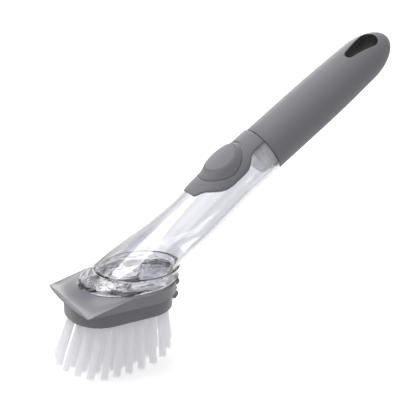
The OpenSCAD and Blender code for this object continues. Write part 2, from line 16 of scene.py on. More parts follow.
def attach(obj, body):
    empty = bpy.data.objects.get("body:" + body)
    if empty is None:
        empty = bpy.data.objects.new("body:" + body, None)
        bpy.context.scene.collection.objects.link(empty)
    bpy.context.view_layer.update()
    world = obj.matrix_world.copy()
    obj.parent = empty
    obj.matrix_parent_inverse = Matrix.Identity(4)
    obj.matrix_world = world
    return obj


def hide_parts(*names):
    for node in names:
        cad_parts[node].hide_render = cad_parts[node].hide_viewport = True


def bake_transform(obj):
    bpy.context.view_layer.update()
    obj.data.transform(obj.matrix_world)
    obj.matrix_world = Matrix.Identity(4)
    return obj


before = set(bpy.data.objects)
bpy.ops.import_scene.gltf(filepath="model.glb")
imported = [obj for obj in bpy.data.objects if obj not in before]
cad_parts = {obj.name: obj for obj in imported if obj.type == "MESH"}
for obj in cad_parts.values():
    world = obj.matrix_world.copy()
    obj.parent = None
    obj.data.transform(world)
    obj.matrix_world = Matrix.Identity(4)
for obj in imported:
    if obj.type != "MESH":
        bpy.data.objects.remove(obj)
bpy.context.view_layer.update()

# %% [markdown]
# The camera stands low in front of the brush, so that the wand climbs to the upper right. A long
# lens keeps it from looking stretched. The position was found by fitting the corners of the head,
# the oval weld and the tip of the grip, and the small roll levels the picture.

# %% Camera
camera_at = Vector((-0.3169, -0.6396, 0.3772))
camera_azimuth = math.radians(-31.04)
camera_elevation = math.radians(21.07)
camera_roll = math.radians(0.72)

back = Vector((
    math.sin(camera_azimuth) * math.cos(camera_elevation),
    -math.cos(camera_azimuth) * math.cos(camera_elevation),
    math.sin(camera_elevation),
))
level_right = Vector((math.cos(camera_azimuth), math.sin(camera_azimuth), 0))
level_up = back.cross(level_right)
right = math.cos(camera_roll) * level_right + math.sin(camera_roll) * level_up
up = back.cross(right)

camera = bpy.data.objects.new("camera", bpy.data.cameras.new("camera"))
camera.data.sensor_width = 36
camera.data.lens = 104.27
camera.data.clip_end = 20
camera.matrix_world = Matrix((right, up, back)).transposed().to_4x4()
camera.matrix_world.translation = camera_at
bpy.context.collection.objects.link(camera)
bpy.context.scene.camera = camera
print("camera at", tuple(round(v, 3) for v in camera_at))

# %% [markdown]
# A few helpers keep the shader code short. Two of them ask Light Path what kind of ray has come: one
# for surfaces that only look brighter than they are, and one for surfaces that let light through
# without the noise of real caustics. Plain values go straight onto the shader's own sockets.

# %% Shader helpers


def new_material(name):
    """A node material, its tree and its Principled surface."""
    made = bpy.data.materials.new(name)
    made.use_nodes = True
    return made, made.node_tree, made.node_tree.nodes["Principled BSDF"]


def set_plain(shader, **values):
    """Sets unlinked inputs of a shader. An underscore in a name stands for a space."""
    for name, value in values.items():
        shader.inputs[name.replace("_", " ")].default_value = value


def set_input(tree, socket, value):
    """Links value to the socket if it is an output of another node, or else sets it."""
    if isinstance(value, bpy.types.NodeSocket):
        tree.links.new(value, socket)
    else:
        socket.default_value = value


def add_node(tree, kind, **inputs):
    """A shader node of this kind with these values or links on its inputs."""
    made = tree.nodes.new(kind)
    for name, value in inputs.items():
        set_input(tree, made.inputs[name.replace("_", " ")], value)
    return made


def add_math(tree, operation, first, second):
    """The output of a Math node on two values or links."""
    made = tree.nodes.new("ShaderNodeMath")
    made.operation = operation
    set_input(tree, made.inputs[0], first)
    set_input(tree, made.inputs[1], second)
    return made.outputs[0]


def mix_shaders(tree, share, first, second):
    """A shader that is second by share and first by the rest."""
    made = tree.nodes.new("ShaderNodeMixShader")
    set_input(tree, made.inputs[0], share)
    tree.links.new(first.outputs[0], made.inputs[1])
    tree.links.new(second.outputs[0], made.inputs[2])
    return made


def mix_colours(tree, share, low, high):
    """A node that mixes two colours, each of three values or a link."""
    made = tree.nodes.new("ShaderNodeMix")
    made.data_type = "RGBA"
    tree.links.new(share, made.inputs["Factor"])
    for name, colour in (("A", low), ("B", high)):
        plain = not isinstance(colour, bpy.types.NodeSocket)
        set_input(tree, made.inputs[name], (*colour, 1) if plain else colour)
    return made


def add_ramp(tree, value, stops):
    """The colour at value on a ramp through stops, each a position and a colour."""
    made = tree.nodes.new("ShaderNodeValToRGB")
    tree.links.new(value, made.inputs["Fac"])
    elements = made.color_ramp.elements
    for element, (position, colour) in zip(elements, (stops[0], stops[-1])):
        element.position = position
        element.color = (*colour, 1)
    for position, colour in stops[1:-1]:
        elements.new(position).color = (*colour, 1)
    return made.outputs["Color"]


def object_place(tree):
    """The place of a point on the object, for patterns that stay on the piece."""
    return tree.nodes.new("ShaderNodeTexCoord").outputs["Object"]


def shown_to_eye(tree):
    """1 for rays that reach the eye straight, in a mirror or through clear plastic, else 0."""
    ray = tree.nodes.new("ShaderNodeLightPath").outputs
    unmirrored = add_math(tree, "MAXIMUM", ray["Is Camera Ray"], ray["Is Glossy Ray"])
    return add_math(tree, "MAXIMUM", unmirrored, ray["Is Transmission Ray"])


def let_light_pass(tree, shader, share):
    """Shadow and diffuse rays go straight through a share of this shader. Other rays see all of it."""
    ray = tree.nodes.new("ShaderNodeLightPath").outputs
    unseen = add_math(tree, "MAXIMUM", ray["Is Shadow Ray"], ray["Is Diffuse Ray"])
    passing = add_math(tree, "MULTIPLY", unseen, share)
    lit = mix_shaders(tree, passing, shader, tree.nodes.new("ShaderNodeBsdfTransparent"))
    tree.links.new(lit.outputs[0], tree.nodes["Material Output"].inputs["Surface"])


# %% [markdown]
# The floor is white paper. A studio world gives even light from all sides. More light would make
# the background white, but it would also wash out the grey plastic, so floor and world are only
# brighter to rays that reach the eye. A large soft lamp above and one behind shape the wand.

# %% Floor, world and lamps
mm = 0.001
floor_size = 4.0
floor_drop = 0.5 * mm
floor_mesh = bpy.data.meshes.new("floor")
sheet = bmesh.new()
bmesh.ops.create_grid(sheet, x_segments=1, y_segments=1, size=floor_size / 2)
bmesh.ops.translate(sheet, vec=(0, 0, -floor_drop), verts=sheet.verts)
sheet.to_mesh(floor_mesh)
sheet.free()
floor = bpy.data.objects.new("floor", floor_mesh)
bpy.context.collection.objects.link(floor)

seen_extra = 0.55
paper, tree, surface = new_material("floor_paper")
set_plain(surface, Base_Color=(0.7, 0.7, 0.7, 1), Roughness=0.9, Specular_IOR_Level=0.0,
          Emission_Color=(1, 1, 1, 1))
seen_white = add_math(tree, "MULTIPLY", shown_to_eye(tree), seen_extra)
tree.links.new(seen_white, surface.inputs["Emission Strength"])
floor_mesh.materials.append(paper)

world = bpy.data.worlds.new("studio")
bpy.context.scene.world = world
world.use_nodes = True
tree = world.node_tree
plain = add_node(tree, "ShaderNodeBackground", Color=(1, 1, 1, 1), Strength=0.5)
white = add_node(tree, "ShaderNodeBackground", Color=(1, 1, 1, 1), Strength=1.0)
studio = mix_shaders(tree, shown_to_eye(tree), plain, white)
tree.links.new(studio.outputs[0], tree.nodes["World Output"].inputs["Surface"])


def add_lamp(name, place, aim, size, power):
    """A square soft lamp at place, turned towards aim."""
    lamp = bpy.data.objects.new(name, bpy.data.lights.new(name, "AREA"))
    lamp.data.size = size
    lamp.data.energy = power
    lamp.location = place
    turn = (Vector(aim) - Vector(place)).to_track_quat("-Z", "Y")
    lamp.rotation_euler = turn.to_euler()
    bpy.context.collection.objects.link(lamp)
    return lamp


key_lamp = add_lamp("key_lamp", (-0.3, 0.25, 1.3), (0.05, 0, 0.1), 0.8, 11)
rim_lamp = add_lamp("rim_lamp", (0.45, 0.95, 0.6), (0.03, 0, 0.08), 0.6, 6)
bpy.context.scene.view_settings.view_transform = "Standard"
print("lamps:", key_lamp.name, rim_lamp.name)

# %% [markdown]
# Soft-touch plastic is matt with a very fine grain. The grain is too small to see as shapes, so it
# is made as a bump from fine noise, and a broad, weak noise keeps the colour from looking printed.
# All noise reads Object coordinates: the finished pieces sit at the origin, so it never slides.

# %% Plastic finishes


def grainy(name, colour, rough, grain, bump, variation=0.06, sheen=0.0, edge=0.0, gloss=0.5):
    """Moulded plastic or rubber: fine grain, a slight change of tone, edges eased by edge metres."""
    made, tree, surface = new_material(name)
    place = object_place(tree)
    broad = add_node(tree, "ShaderNodeTexNoise", Vector=place, Scale=45.0, Detail=3.0)
    darker = [c * (1 - variation) for c in colour]
    lighter = [min(1, c * (1 + variation)) for c in colour]
    tone = mix_colours(tree, broad.outputs["Fac"], darker, lighter)
    tree.links.new(tone.outputs["Result"], surface.inputs["Base Color"])
    fine = add_node(tree, "ShaderNodeTexNoise", Vector=place, Scale=grain, Detail=2.0)
    worn = add_node(tree, "ShaderNodeMapRange", Value=broad.outputs["Fac"], To_Min=rough - 0.05,
                    To_Max=rough + 0.05)
    tree.links.new(worn.outputs["Result"], surface.inputs["Roughness"])
    raised = add_node(tree, "ShaderNodeBump", Height=fine.outputs["Fac"], Strength=bump,
                      Distance=0.1 * mm)
    if edge:
        eased = add_node(tree, "ShaderNodeBevel", Radius=edge)
        tree.links.new(eased.outputs["Normal"], raised.inputs["Normal"])
    tree.links.new(raised.outputs["Normal"], surface.inputs["Normal"])
    set_plain(surface, Sheen_Weight=sheen, Specular_IOR_Level=gloss)
    return made


soft_grey = grainy("soft_touch_grey", (0.196, 0.197, 0.218), 0.6, 2600, 0.35, variation=0.04,
                   sheen=0.05, edge=0.4 * mm, gloss=0.3)
head_grey = grainy("head_grey", (0.198, 0.198, 0.222), 0.4, 3200, 0.2, variation=0.04, edge=0.7 * mm)
# Painted shade: a near-black finish for the walls of the hanging hole, which are the sleeve's grey in
# shade.
hole_painted_shade = grainy("hole_painted_shade", (0.05, 0.05, 0.054), 0.6, 2600, 0.2, variation=0.04)
# Painted shade: the block is the same grey plastic as the head, made darker for the shade under the
# shell.
block_grey = grainy("block_grey", (0.132, 0.133, 0.148), 0.4, 3200, 0.2, variation=0.04)
seal_black = grainy("seal_rubber", (0.11, 0.11, 0.12), 0.6, 2000, 0.2)
milky = grainy("milky_silicone", (0.72, 0.72, 0.74), 0.3, 1500, 0.1)
print("plastics:", soft_grey.name, head_grey.name, block_grey.name)

# %% [markdown]
# The reservoir is clear plastic about 2 mm thick. It could be a thin shell with a see-through
# colour, but then it would show no refraction. Here it has real inner and outer walls, and a
# transmitting surface with the index of the plastic. Long grey streaks are painted down the tube
# as painted reflections, and the colour darkens a little where the wall is seen edge on, as painted
# shade.

# %% Clear tube plastic
tube_slope = math.radians(37.4)
clear_plastic, tree, surface = new_material("clear_plastic")
place = object_place(tree)
along = add_node(tree, "ShaderNodeMapping", Vector=place, Rotation=(0, -tube_slope, 0),
                 Scale=(0.9, 0.0085, 0.0085))
along.vector_type = "TEXTURE"
# Painted reflection: grey streaks along the tube, in the base colour.
painted_streak_noise = add_node(tree, "ShaderNodeTexNoise", Vector=along.outputs["Vector"], Scale=1.0, Detail=1.0)
painted_streak_tone = add_ramp(tree, painted_streak_noise.outputs["Fac"],
                       [(0.38, (0.62, 0.62, 0.66)), (0.6, (0.88, 0.88, 0.9))])
# Painted shade: the colour darkens where the wall is seen edge on.
facing = add_node(tree, "ShaderNodeLayerWeight", Blend=0.38).outputs["Facing"]
painted_edge_shade = mix_colours(tree, facing, painted_streak_tone, (0.42, 0.42, 0.45))
painted_edge_shade.name = "painted_edge_shade"
tree.links.new(painted_edge_shade.outputs["Result"], surface.inputs["Base Color"])
flow = add_node(tree, "ShaderNodeTexNoise", Vector=place, Scale=35.0, Detail=2.0)
ripple = add_node(tree, "ShaderNodeBump", Height=flow.outputs["Fac"], Strength=0.03, Distance=0.6 * mm)
tree.links.new(ripple.outputs["Normal"], surface.inputs["Normal"])
set_plain(surface, Roughness=0.02, IOR=1.49, Transmission_Weight=1.0)
foot_plastic = clear_plastic.copy()
let_light_pass(tree, surface, 0.8)

# %% [markdown]
# The foot is thicker and full of small moulded folds that mirror the room. A distorted noise,
# squeezed upright so that the folds run level, gives them: it bends the normal, paints dark lines
# along its steep parts as painted reflection, and makes the tops of the folds milky white as
# painted highlights.

# %% Foot, core and anchors
foot_plastic.name = "thick_clear_plastic"
tree = foot_plastic.node_tree
surface = tree.nodes["Principled BSDF"]
level = add_node(tree, "ShaderNodeMapping", Vector=object_place(tree), Scale=(0.75, 0.75, 2.4))
flow = add_node(tree, "ShaderNodeTexNoise", Vector=level.outputs["Vector"], Scale=60.0, Detail=1.0,
                Distortion=1.8)
ripple = add_node(tree, "ShaderNodeBump", Height=flow.outputs["Fac"], Strength=0.5, Distance=1.6 * mm)
tree.links.new(ripple.outputs["Normal"], surface.inputs["Normal"])
# Painted highlight: the tops of the folds let less light through, so they show milky white.
painted_milky_glints = add_node(tree, "ShaderNodeMapRange", Value=flow.outputs["Fac"], From_Min=0.52, From_Max=0.62,
                 To_Min=1.0, To_Max=0.45)
tree.links.new(painted_milky_glints.outputs["Result"], surface.inputs["Transmission Weight"])
# Painted reflection: dark lines and light bands along the folds, in the base colour.
painted_refraction_lines = add_ramp(tree, flow.outputs["Fac"],
                [(0.42, (0.66, 0.66, 0.69)), (0.45, (0.22, 0.22, 0.24)), (0.48, (0.93, 0.93, 0.95))])
tree.links.new(painted_refraction_lines, tree.nodes["painted_edge_shade"].inputs["A"])

frosted, tree, surface = new_material("frosted_core")
cloud = add_node(tree, "ShaderNodeTexNoise", Vector=object_place(tree), Scale=160.0, Detail=2.0)
cloud_tone = mix_colours(tree, cloud.outputs["Fac"], (0.88, 0.88, 0.91), (1, 1, 1))
tree.links.new(cloud_tone.outputs["Result"], surface.inputs["Base Color"])
set_plain(surface, Transmission_Weight=0.2, Roughness=0.08, IOR=1.46)

steel, tree, surface = new_material("anchor_steel")
drawn = add_node(tree, "ShaderNodeTexNoise", Vector=object_place(tree), Scale=900.0)
tree.links.new(drawn.outputs["Fac"], surface.inputs["Roughness"])
set_plain(surface, Base_Color=(0.68, 0.67, 0.64, 1), Metallic=1.0)

# %% [markdown]
# White nylon filaments are bright because light passes through them. Subsurface scattering could
# show that, but on threads this thin it turns to coloured grain. A translucent shader mixed with a
# slightly glossy one gives the same look, shadow rays pass in part, as they do through a tuft, and
# a noise the size of a tuft varies the white. A faint white emission adds painted light on top.

# %% Nylon
nylon, tree, surface = new_material("white_nylon")
tufty = add_node(tree, "ShaderNodeTexNoise", Vector=object_place(tree), Scale=260.0)
shade = mix_colours(tree, tufty.outputs["Fac"], (0.92, 0.92, 0.95), (0.99, 0.99, 0.99))
tree.links.new(shade.outputs["Result"], surface.inputs["Base Color"])
# Painted light: a faint emission makes the filaments glow, though they are no lamp.
set_plain(surface, Roughness=0.38, Emission_Color=(0.95, 0.95, 1, 1), Emission_Strength=0.26)
glow = add_node(tree, "ShaderNodeBsdfTranslucent", Color=shade.outputs["Result"])
let_light_pass(tree, mix_shaders(tree, 0.5, surface, glow), 0.75)

# %% [markdown]
# Most shapes of this wand are skins over a row of closed rings: the flared tube, the foot, the
# bulb, the block. A ring starts as a circle whose corners are moved to their places, and each
# extrusion of its edges makes the next band. All skins are drawn in mm, and the last ring is either
# capped or joined to the first.

# %% Helpers for rings and skins
sides = 96


def ring_turns(count=sides):
    """Angles that share a full turn evenly."""
    return [i * 2 * math.pi / count for i in range(count)]


def oval(x, z, a, b):
    """A level oval ring round (x, 0, z)."""
    return [Vector((x + a * math.cos(t), b * math.sin(t), z)) for t in ring_turns()]


def skin(bm, rings, close):
    """Bands of faces through these rings. close is "loop" to join the last to the first, or "ends"."""
    previous = bmesh.ops.create_circle(bm, segments=len(rings[0]), radius=1)["verts"]
    for corner, point in zip(previous, rings[0]):
        corner.co = point
    first = [e for e in bm.edges if e.verts[0] in previous and e.verts[1] in previous]
    edges = first
    for ring in rings[1:]:
        grown = bmesh.ops.extrude_edge_only(bm, edges=edges)["geom"]
        fresh = {g for g in grown if isinstance(g, bmesh.types.BMVert)}
        following = []
        for corner in previous:
            linked = (e.other_vert(corner) for e in corner.link_edges)
            following.append(next(v for v in linked if v in fresh))
        for corner, point in zip(following, ring):
            corner.co = point
        edges = [g for g in grown if isinstance(g, bmesh.types.BMEdge)
                 and g.verts[0] in fresh and g.verts[1] in fresh]
        previous = following
    if close == "loop":
        bmesh.ops.bridge_loops(bm, edges=first + edges)
    else:
        bmesh.ops.contextual_create(bm, geom=first)
        bmesh.ops.contextual_create(bm, geom=edges)


# %% [markdown]
# A finished piece is smooth except over its sharp edges. Smoothing by angle can be a modifier, but
# marking the edges once keeps the mesh plain. The piece is scaled to metres, rides on its body and
# takes the place of its CAD node.

# %% Helpers for finished pieces


def soften(bm, angle):
    """Smooths all faces but leaves edges sharper than angle, in degrees, crisp."""
    for edge in bm.edges:
        if len(edge.link_faces) == 2:
            edge.smooth = edge.calc_face_angle() < math.radians(angle)
    for face in bm.faces:
        face.smooth = True


def to_metres(bm):
    """Turns a closed skin's faces outwards and scales it from mm to metres."""
    bmesh.ops.recalc_face_normals(bm, faces=bm.faces)
    bmesh.ops.scale(bm, vec=(mm, mm, mm), verts=bm.verts)


def new_object(name, bm, material):
    """An object of this bmesh, which is used up."""
    mesh = bpy.data.meshes.new(name)
    bm.to_mesh(mesh)
    bm.free()
    mesh.materials.append(material)
    made = bpy.data.objects.new(name, mesh)
    bpy.context.collection.objects.link(made)
    return made


def stand_for(piece, body, node):
    """Lets a piece ride on body and stand for the CAD node."""
    if body:
        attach(piece, body)
    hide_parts(node)
    print(piece.name, len(piece.data.polygons), "faces")


def finish(name, bm, material, body, node, smooth_angle=35):
    """A piece from a skin in mm."""
    bmesh.ops.remove_doubles(bm, verts=bm.verts, dist=0.0005)
    to_metres(bm)
    soften(bm, smooth_angle)
    piece = new_object(name, bm, material)
    stand_for(piece, body, node)
    return piece


# %% [markdown]
# Windows and holes are cut with Boolean modifiers that are applied at once, so no cutter stays in
# the file. The exact solver can leave faces without area along a cut, and these are dissolved.

# %% Helpers for cuts


def as_cutter(bm, material):
    """A throw-away object from a skin in mm. Its material lines the cut."""
    to_metres(bm)
    return new_object("cutter", bm, material)


def soften_mesh(mesh, angle):
    """Clears faces without area from a mesh and softens it."""
    bm = bmesh.new()
    bm.from_mesh(mesh)
    bmesh.ops.dissolve_degenerate(bm, dist=1e-6, edges=bm.edges)
    soften(bm, angle)
    bm.to_mesh(mesh)
    bm.free()


def cut(piece, cutter, smooth_angle=35):
    """Takes cutter's shape out of piece, for good."""
    step = piece.modifiers.new("cut", "BOOLEAN")
    step.operation = "DIFFERENCE"
    step.solver = "EXACT"
    step.material_mode = "TRANSFER"
    step.object = cutter
    shown = piece.evaluated_get(bpy.context.evaluated_depsgraph_get())
    result = bpy.data.meshes.new_from_object(shown)
    piece.modifiers.remove(step)
    piece.data = result
    cutter_mesh = cutter.data
    bpy.data.objects.remove(cutter)
    bpy.data.meshes.remove(cutter_mesh)
    soften_mesh(piece.data, smooth_angle)


# %% [markdown]
# The wand bends a little at the button: the tube climbs at 37.4 degrees and the grip at 33.3. Two
# small helpers give a point and a ring along either part, counted from the bend. Below the
# straight part, the tube flares in two curves, a short one at the back and a long one in front.
# Both end at the oval weld, so the rings tilt step by step from square to level.

# %% Curves of the tube
bend = Vector((87.7, 0, 111.8))
grip_slope = math.radians(33.3)
pump_slope = (tube_slope + grip_slope) / 2
tube_r = 16.6
tube_wall = 2.0
neck_l = 24.4
straight_l = 42
rim_z = 46.5
shell_top = 53.7
weld_z = 61.5
foot_x = 7
weld_x = 13.3
weld_a = 28.4
weld_b = 24.4


def wand_point(slope, s, n, y=0):
    """The point s along the wand from the bend, n out on the button's side and y across."""
    return bend + Vector((
        s * math.cos(slope) - n * math.sin(slope), y, s * math.sin(slope) + n * math.cos(slope)))


def wand_ring(slope, s, r):
    """A ring of radius r square to the wand, s along it."""
    return [wand_point(slope, s, -r * math.cos(t), r * math.sin(t)) for t in ring_turns()]


def bezier(points, t):
    """The point at share t of the curve with these four control points."""
    u = 1 - t
    a, b, c, d = points
    return a * u ** 3 + b * 3 * t * u * u + c * 3 * t * t * u + d * t ** 3


weld_back = Vector((weld_x + weld_a, 0, weld_z))
weld_front = Vector((weld_x - weld_a, 0, weld_z))
flare_back = [
    wand_point(tube_slope, -straight_l, -tube_r),
    wand_point(tube_slope, -straight_l - 12, -tube_r),
    weld_back + Vector((1.5, 0, 7)),
    weld_back,
]
flare_front = [
    wand_point(tube_slope, -straight_l, tube_r),
    wand_point(tube_slope, -straight_l - 18, tube_r),
    weld_front + Vector((12, 0, 8)),
    weld_front,
]


def flare_ring(t, wall):
    """One slanted ring of the flare, drawn in by the wall for the inside."""
    ahead = bezier(flare_front, t)
    behind = bezier(flare_back, t)
    middle = (ahead + behind) / 2
    half = (behind - ahead) / 2
    a = half.length - wall
    b = tube_r + (weld_b - tube_r) * t * t * (3 - 2 * t) - wall
    across = half.normalized()
    return [middle + across * a * math.cos(w) + Vector((0, b * math.sin(w), 0)) for w in ring_turns()]


print("bend at", tuple(bend))

# %% [markdown]
# The clear tube is one shell: up the outside from the weld, over the mouth and down the inside.
# Its lip at the mouth is rounded, because a moulded edge is never quite sharp. An oval window is
# cut under the pump bulb, so that the pad has room to go down.

# %% Clear tube
flare_steps = 26
bulb_back = 4.4
window_a = 15.7
window_b = 12.5
window_cut = (2, 30)


def tube_side(wall):
    """All rings of one side of the tube's wall, from the weld to the mouth."""
    rings = [flare_ring(1 - j / flare_steps, wall) for j in range(flare_steps + 1)]
    for j in range(1, 8):
        rings.append(wand_ring(tube_slope, -straight_l + j * (straight_l - 3) / 7, tube_r - wall))
    rings.append(wand_ring(pump_slope, 0, tube_r - wall))
    for s in (3, 8, 13, 18, 22):
        rings.append(wand_ring(grip_slope, s, tube_r - wall))
    return rings


outside = tube_side(0)
inside = tube_side(tube_wall)
lip_profile = [(0.5, 0), (0.15, 0.15), (0, 0.5), (0, 1.6), (0.4, tube_wall)]
lip = [wand_ring(grip_slope, neck_l - below, tube_r - inset) for below, inset in lip_profile]
bm = bmesh.new()
skin(bm, outside + lip + inside[::-1], close="loop")
tube = finish("clear_tube", bm, clear_plastic, "reservoir", "reservoir_tube")

window_line = [(window_a * math.cos(t) - bulb_back, window_b * math.sin(t)) for t in ring_turns(72)]
bm = bmesh.new()
skin(bm, [[wand_point(pump_slope, s, n, y) for s, y in window_line] for n in window_cut], close="ends")
cut(tube, as_cutter(bm, clear_plastic))

# %% [markdown]
# The foot of the reservoir is a second moulding, welded under the tube. It has a broad flange on
# the head, a hollow side up to the weld, a floor, and a round boss over the soap outlet, whose
# spigot goes down through the head. All of it is one closed skin.

# %% Foot of the reservoir
outlet_x = 5
outlet_r = 3.0
spigot_r = 4.6
spigot_z = 49.2
under_z = 51.85
seat_z = shell_top + 0.02
floor_z = shell_top + 2
boss_z = floor_z + 0.5

flange = [(foot_x, seat_z, 33.0, 26.3), (foot_x, shell_top + 0.3, 33.6, 26.9),
          (foot_x, shell_top + 0.9, 33.7, 27.0), (foot_x, shell_top + 1.5, 33.5, 26.8)]
shoulder = [(7.4, 56.4, 32.6, 26.3), (8.9, 58.2, 31.0, 25.6), (11.2, 59.9, 29.6, 25.0),
            (12.8, 60.9, 28.9, 24.7)]
bead = [(weld_x, weld_z - below, weld_a + out, weld_b + out)
        for below, out in ((0.4, 0.7), (0.15, 0.7), (0, 0.3), (0, -1.9))]
hollow = [(12.4, 60.4, 26.8, 22.6), (9.6, 58.2, 29.0, 23.4), (7.6, 56.6, 31.0, 24.5),
          (foot_x, 55.9, 31.3, 24.7), (foot_x, floor_z, 30.6, 24.0)]
boss = [(outlet_x, z, r, r) for z, r in (
    (floor_z, 10.2), (boss_z, 9.6), (boss_z, outlet_r),
    (spigot_z, outlet_r), (spigot_z, spigot_r), (under_z, spigot_r))]
underside = [(foot_x, under_z, 27.7, 21.0), (foot_x, seat_z, 27.7, 21.0)]

bm = bmesh.new()
profile = flange + shoulder + bead + hollow + boss + underside
skin(bm, [oval(x, z, a, b) for x, z, a, b in profile], close="loop")
finish("reservoir_foot", bm, foot_plastic, "reservoir", "base_foot")

# %% [markdown]
# The grip is a turned shape: nearly straight, then slightly drawn in, then a round end. Its rings
# are drawn level, from the seam upwards, and laid along the wand's axis at the end.

# %% Curve of the grip
seam = neck_l + 0.4
grip_l = 117.6
dome_l = 29.3
dome_start = grip_l - dome_l
dome_r = 15.4
taper_l = 43
taper_power = 1.6


def grip_radius(s, inset=0):
    """Radius of the grip at s from the seam, or of a shape that stands inset mm inside it."""
    if s > dome_start:
        share = min(1, (s - dome_start) / (dome_l - inset))
        return (dome_r - inset) * math.sqrt(1 - share * share)
    drawn = max(0, (s - dome_start + taper_l) / taper_l)
    return tube_r - (tube_r - dome_r) * drawn ** taper_power - inset


def level_ring(z, r):
    """A round ring about the Z axis."""
    return oval(0, z, r, r)


def grip_rings(inset=0):
    """Level rings from above the seam to the end, where the steps are even in angle."""
    straight = [dome_start * i / 14 for i in range(1, 14)]
    round_end = [dome_start + (dome_l - inset) * math.sin(math.radians(4 * i)) for i in range(23)]
    return [level_ring(s, grip_radius(s, inset)) for s in straight + round_end]


def to_wand(bm, slope, s):
    """Turns and moves a mesh whose axis is +Z onto the wand's axis, s from the bend."""
    bmesh.ops.rotate(bm, verts=bm.verts, matrix=Matrix.Rotation(math.pi / 2 - slope, 3, "Y"))
    bmesh.ops.translate(bm, verts=bm.verts, vec=wand_point(slope, s, 0))


# %% [markdown]
# The soft sleeve is a shell over the hard core. It could be a surface with a Solidify modifier, but
# the core doesn't follow it everywhere: it stays clear of the teardrop hanging hole, which the soft
# sleeve lines. So the room for the core is a shape of its own, with a wider teardrop cut out of it,
# and it is cut out of the full grip before the hole is. The rim of the hole is bevelled last.

# %% Grip sleeve
sleeve_t = 2.4
hole_turn = math.radians(22)
hole_big_r = 6.6
hole_small_r = 3.3
hole_span = 17.0
hole_wide = grip_l - 15.8
hole_narrow = hole_wide - hole_span
cutter_reach = 30


def arc(at, radius, start, sweep, steps):
    """Points, along and across, on an arc about the point at on the grip's axis."""
    turns = [start + sweep * i / steps for i in range(steps + 1)]
    return [(at + radius * math.cos(t), radius * math.sin(t)) for t in turns]


def teardrop_cutter(grow, material):
    """A closed prism with the outline of the hanging hole, larger by grow, through the whole grip."""
    lean = math.asin((hole_big_r - hole_small_r) / hole_span)
    outline = arc(hole_wide, hole_big_r + grow, -math.pi / 2 - lean, math.pi + 2 * lean, 40)
    outline += arc(hole_narrow, hole_small_r + grow, math.pi / 2 + lean, math.pi - 2 * lean, 24)
    ends = [[Vector((h, y, z)) for z, y in outline] for h in (-cutter_reach, cutter_reach)]
    bm = bmesh.new()
    skin(bm, ends, close="ends")
    bmesh.ops.rotate(bm, verts=bm.verts, matrix=Matrix.Rotation(hole_turn, 3, "Z"))
    to_wand(bm, grip_slope, seam)
    return as_cutter(bm, material)


bm = bmesh.new()
seam_edge = [level_ring(0, tube_r - 1.6), level_ring(0, tube_r - 0.35), level_ring(0.12, tube_r - 0.1),
             level_ring(0.4, tube_r)]
skin(bm, seam_edge + grip_rings(), close="ends")
to_wand(bm, grip_slope, seam)
grip = finish("soft_grip", bm, soft_grey, "handle", "handle_grip")

bm = bmesh.new()
core_r = tube_r - sleeve_t
skin(bm, [level_ring(-1, core_r), level_ring(0, core_r)] + grip_rings(sleeve_t), close="ends")
to_wand(bm, grip_slope, seam)
room_for_core = as_cutter(bm, soft_grey)
cut(room_for_core, teardrop_cutter(sleeve_t / 2, soft_grey))
cut(grip, room_for_core)
# Painted shade: the walls of the hole get the near-black finish.
cut(grip, teardrop_cutter(0, hole_painted_shade))

bm = bmesh.new()
bm.from_mesh(grip.data)
rim = [e for e in bm.edges if len({f.material_index for f in e.link_faces}) == 2]
bmesh.ops.bevel(bm, geom=rim, offset=0.4 * mm, offset_type="OFFSET", segments=2, profile=0.5,
                affect="EDGES", clamp_overlap=True, material=-1)
bm.to_mesh(grip.data)
bm.free()
soften_mesh(grip.data, 30)
print("hole rim has", len(rim), "edges, finishes", [m.name for m in grip.data.materials])

# %% [markdown]
# The button is three soft grey pieces. A thin surround hugs the tube, wide round the button, with
# a blunt tail below and a band up to the grip. The bulb rises from it with a bead and a groove, and
# the firm pad sits on top. All are laid on the tube: a point at s along and y across gets the
# height of the cylinder there, less a little on both sides of the bend.

# %% Laying points on the tube
pad_a = 12.3
pad_b = 10.5
pad_back = 2.8
pad_top = 18.6
arch = 70.0
bulb_a = 17.25
bulb_b = 13.75


def on_tube(s, y, r):
    """The point at s and y on a cylinder of radius r round the bent tube, in mm."""
    height = math.sqrt(max(0, r * r - y * y)) - abs(s) * math.tan((tube_slope - grip_slope) / 2)
    return wand_point(pump_slope, s, height, y)


def crown_ring(grow, drop, scale=1.0):
    """A ring of the pad's outline, arched across, drop mm under the pad's top."""
    a = pad_a * scale + grow
    b = pad_b * scale + grow
    plan = [(a * math.cos(t) - pad_back, b * math.sin(t)) for t in ring_turns()]
    return [wand_point(pump_slope, s, pad_top - drop - y * y / arch, y) for s, y in plan]


def seat_ring(inset_a, inset_b, r):
    """A ring of the bulb's foot, drawn in by the insets, on a cylinder of radius r."""
    a = bulb_a - inset_a
    b = bulb_b - inset_b
    return [on_tube(a * math.cos(t) - bulb_back, b * math.sin(t), r) for t in ring_turns()]


def between(low, high, share):
    """The ring at this share of the way from one ring to the next."""
    return [a.lerp(b, share) for a, b in zip(low, high)]


# %% [markdown]
# The surround is a thin plate that follows the tube. Its inner ring is an oval round the bulb. Its
# outer ring is the outline of the plate, cut by rays from the middle of that oval, so both rings
# have the same number of corners and can be joined by bands.

# %% Button surround
top_r = 17.5
bottom_r = 16.66
hole_gap = 0.25
surround_side = [Vector(p) for p in (
    (24.36, 12.1), (15.5, 12.1), (12.0, 12.9), (9.6, 13.9), (7.0, 15.0), (4.0, 15.6), (0, 15.8),
    (-10.1, 15.7), (-15.5, 15.3), (-18.8, 14.5), (-21.6, 13.3), (-24.4, 11.6), (-27.0, 9.6),
    (-29.5, 8.3), (-32.2, 7.5), (-33.4, 6.8), (-34.0, 5.8))]


def mirrored(side):
    """A closed outline from its side of positive y."""
    return side + [Vector((p.x, -p.y)) for p in reversed(side)]


